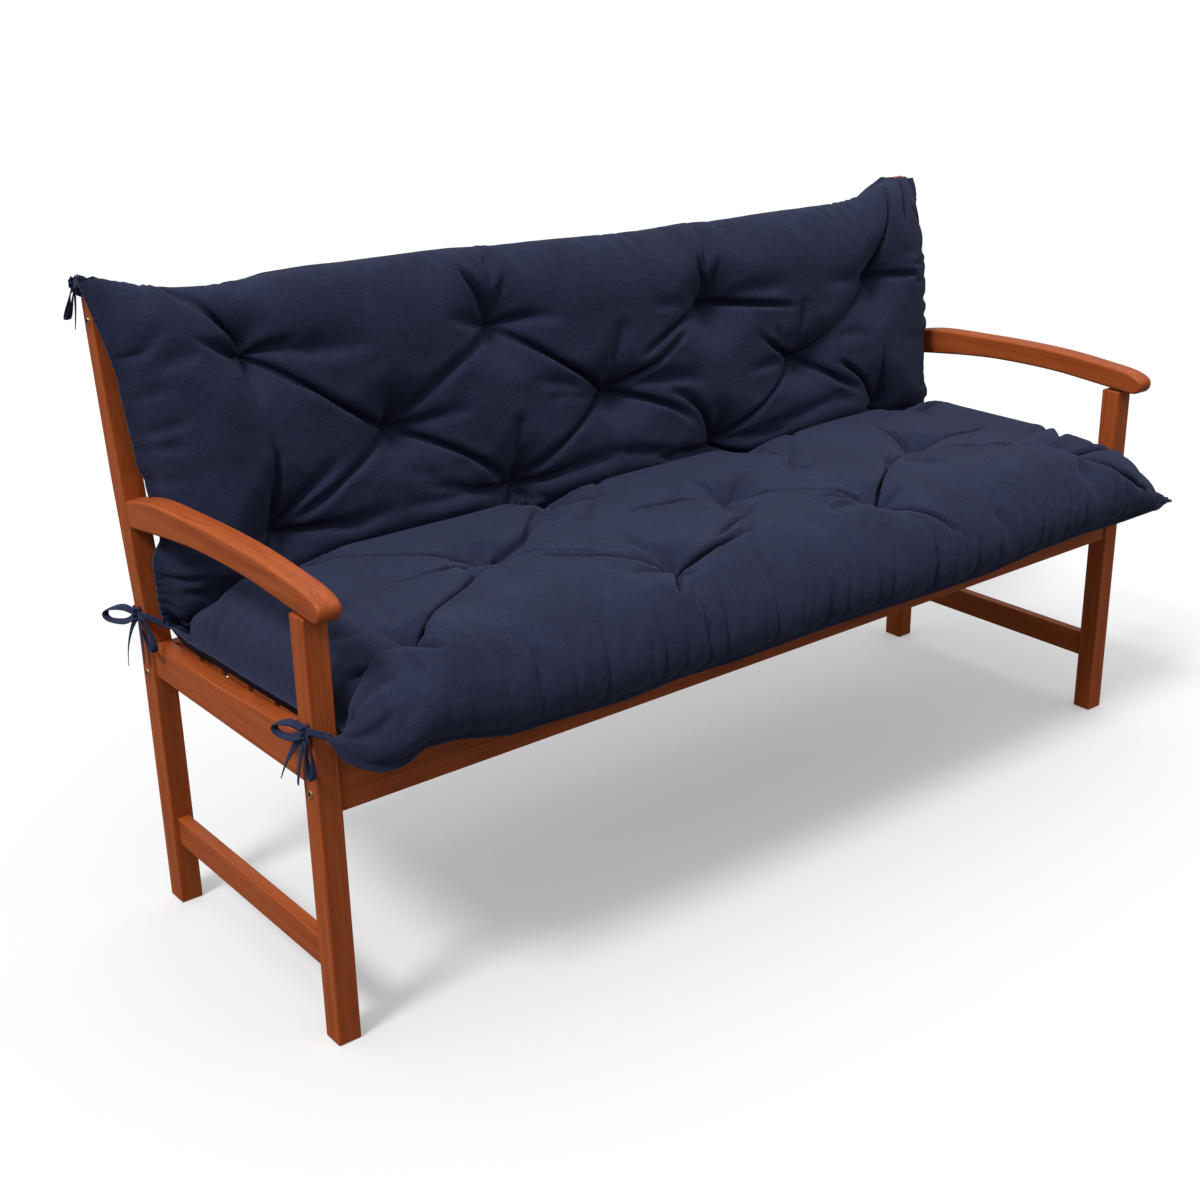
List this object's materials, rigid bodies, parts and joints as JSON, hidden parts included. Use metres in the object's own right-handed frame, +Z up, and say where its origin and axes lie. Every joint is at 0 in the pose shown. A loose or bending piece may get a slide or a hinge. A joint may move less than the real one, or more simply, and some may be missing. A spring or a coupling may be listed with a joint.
{
  "type": "bench cushion on a garden bench",
  "caption": "Tufted seat and back cushion in one piece, tied with tapes to a plain wooden garden bench with arms.",
  "frame": {"origin": "middle of the whole part's box, at the floor", "axes": "+X along the bench, from its left end to its right end as seen from in front; +Y from its front to its back; +Z up"},
  "size_m": [1.6116, 0.6432, 0.9106],
  "materials": {
    "cushion_cloth": "plain woven cotton-like cloth, matt, dark blue",
    "tie_cloth": "flat sewn cloth tape, matt, dark blue",
    "bench_wood": "varnished reddish hardwood, satin",
    "nut_brass": "plain brass, slightly dull"
  },
  "bodies": {
    "root": {"front_leg_left": "bench_wood", "rear_post_left": "bench_wood", "arm_left": "bench_wood", "side_rail_left": "bench_wood", "stretcher_left": "bench_wood", "front_leg_right": "bench_wood", "rear_post_right": "bench_wood", "arm_right": "bench_wood", "side_rail_right": "bench_wood", "stretcher_right": "bench_wood", "front_apron": "bench_wood", "rear_rail": "bench_wood", "seat_bearer_1": "bench_wood", "seat_bearer_2": "bench_wood", "seat_bearer_3": "bench_wood", "seat_slat_1": "bench_wood", "seat_slat_2": "bench_wood", "seat_slat_3": "bench_wood", "seat_slat_4": "bench_wood", "seat_slat_5": "bench_wood", "seat_slat_6": "bench_wood", "backrest_lower_rail": "bench_wood", "backrest_top_rail": "bench_wood", "backrest_slat_1": "bench_wood", "backrest_slat_2": "bench_wood", "backrest_slat_3": "bench_wood", "backrest_slat_4": "bench_wood", "backrest_slat_5": "bench_wood", "backrest_slat_6": "bench_wood", "backrest_slat_7": "bench_wood", "backrest_slat_8": "bench_wood", "backrest_slat_9": "bench_wood", "backrest_slat_10": "bench_wood", "backrest_slat_11": "bench_wood", "backrest_slat_12": "bench_wood", "barrel_nut_front_left": "nut_brass", "barrel_nut_rear_left": "nut_brass", "barrel_nut_top_left": "nut_brass", "barrel_nut_front_right": "nut_brass", "barrel_nut_rear_right": "nut_brass", "barrel_nut_top_right": "nut_brass", "cushion": "cushion_cloth", "tie_front_left": "tie_cloth", "tie_crease_left": "tie_cloth", "tie_top_left": "tie_cloth"}
  },
  "joints": []
}
